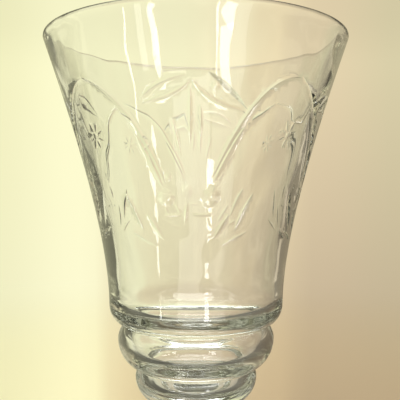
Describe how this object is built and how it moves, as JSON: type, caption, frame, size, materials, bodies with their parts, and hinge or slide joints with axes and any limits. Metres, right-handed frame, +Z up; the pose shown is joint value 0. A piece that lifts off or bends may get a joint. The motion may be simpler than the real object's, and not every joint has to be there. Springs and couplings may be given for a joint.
{
  "type": "wine glass",
  "caption": "Footed wine glass: a flared hollow bowl with a rounded shoulder, a stepped base of shrinking rings, a waisted stem and a shallow foot.",
  "frame": {"origin": "middle of the foot's underside, on the table", "axes": "+Z up the axis of the glass, towards the rim; +Y and +X across it, with a cut flower facing -Y"},
  "size_m": [0.0894, 0.0894, 0.165],
  "materials": {
    "clear_glass": "clear fire-polished glass with a faint green tint in its thick edges, and polished cut grooves"
  },
  "bodies": {
    "root": {"bowl": "clear_glass", "stem": "clear_glass", "foot": "clear_glass"}
  },
  "joints": []
}
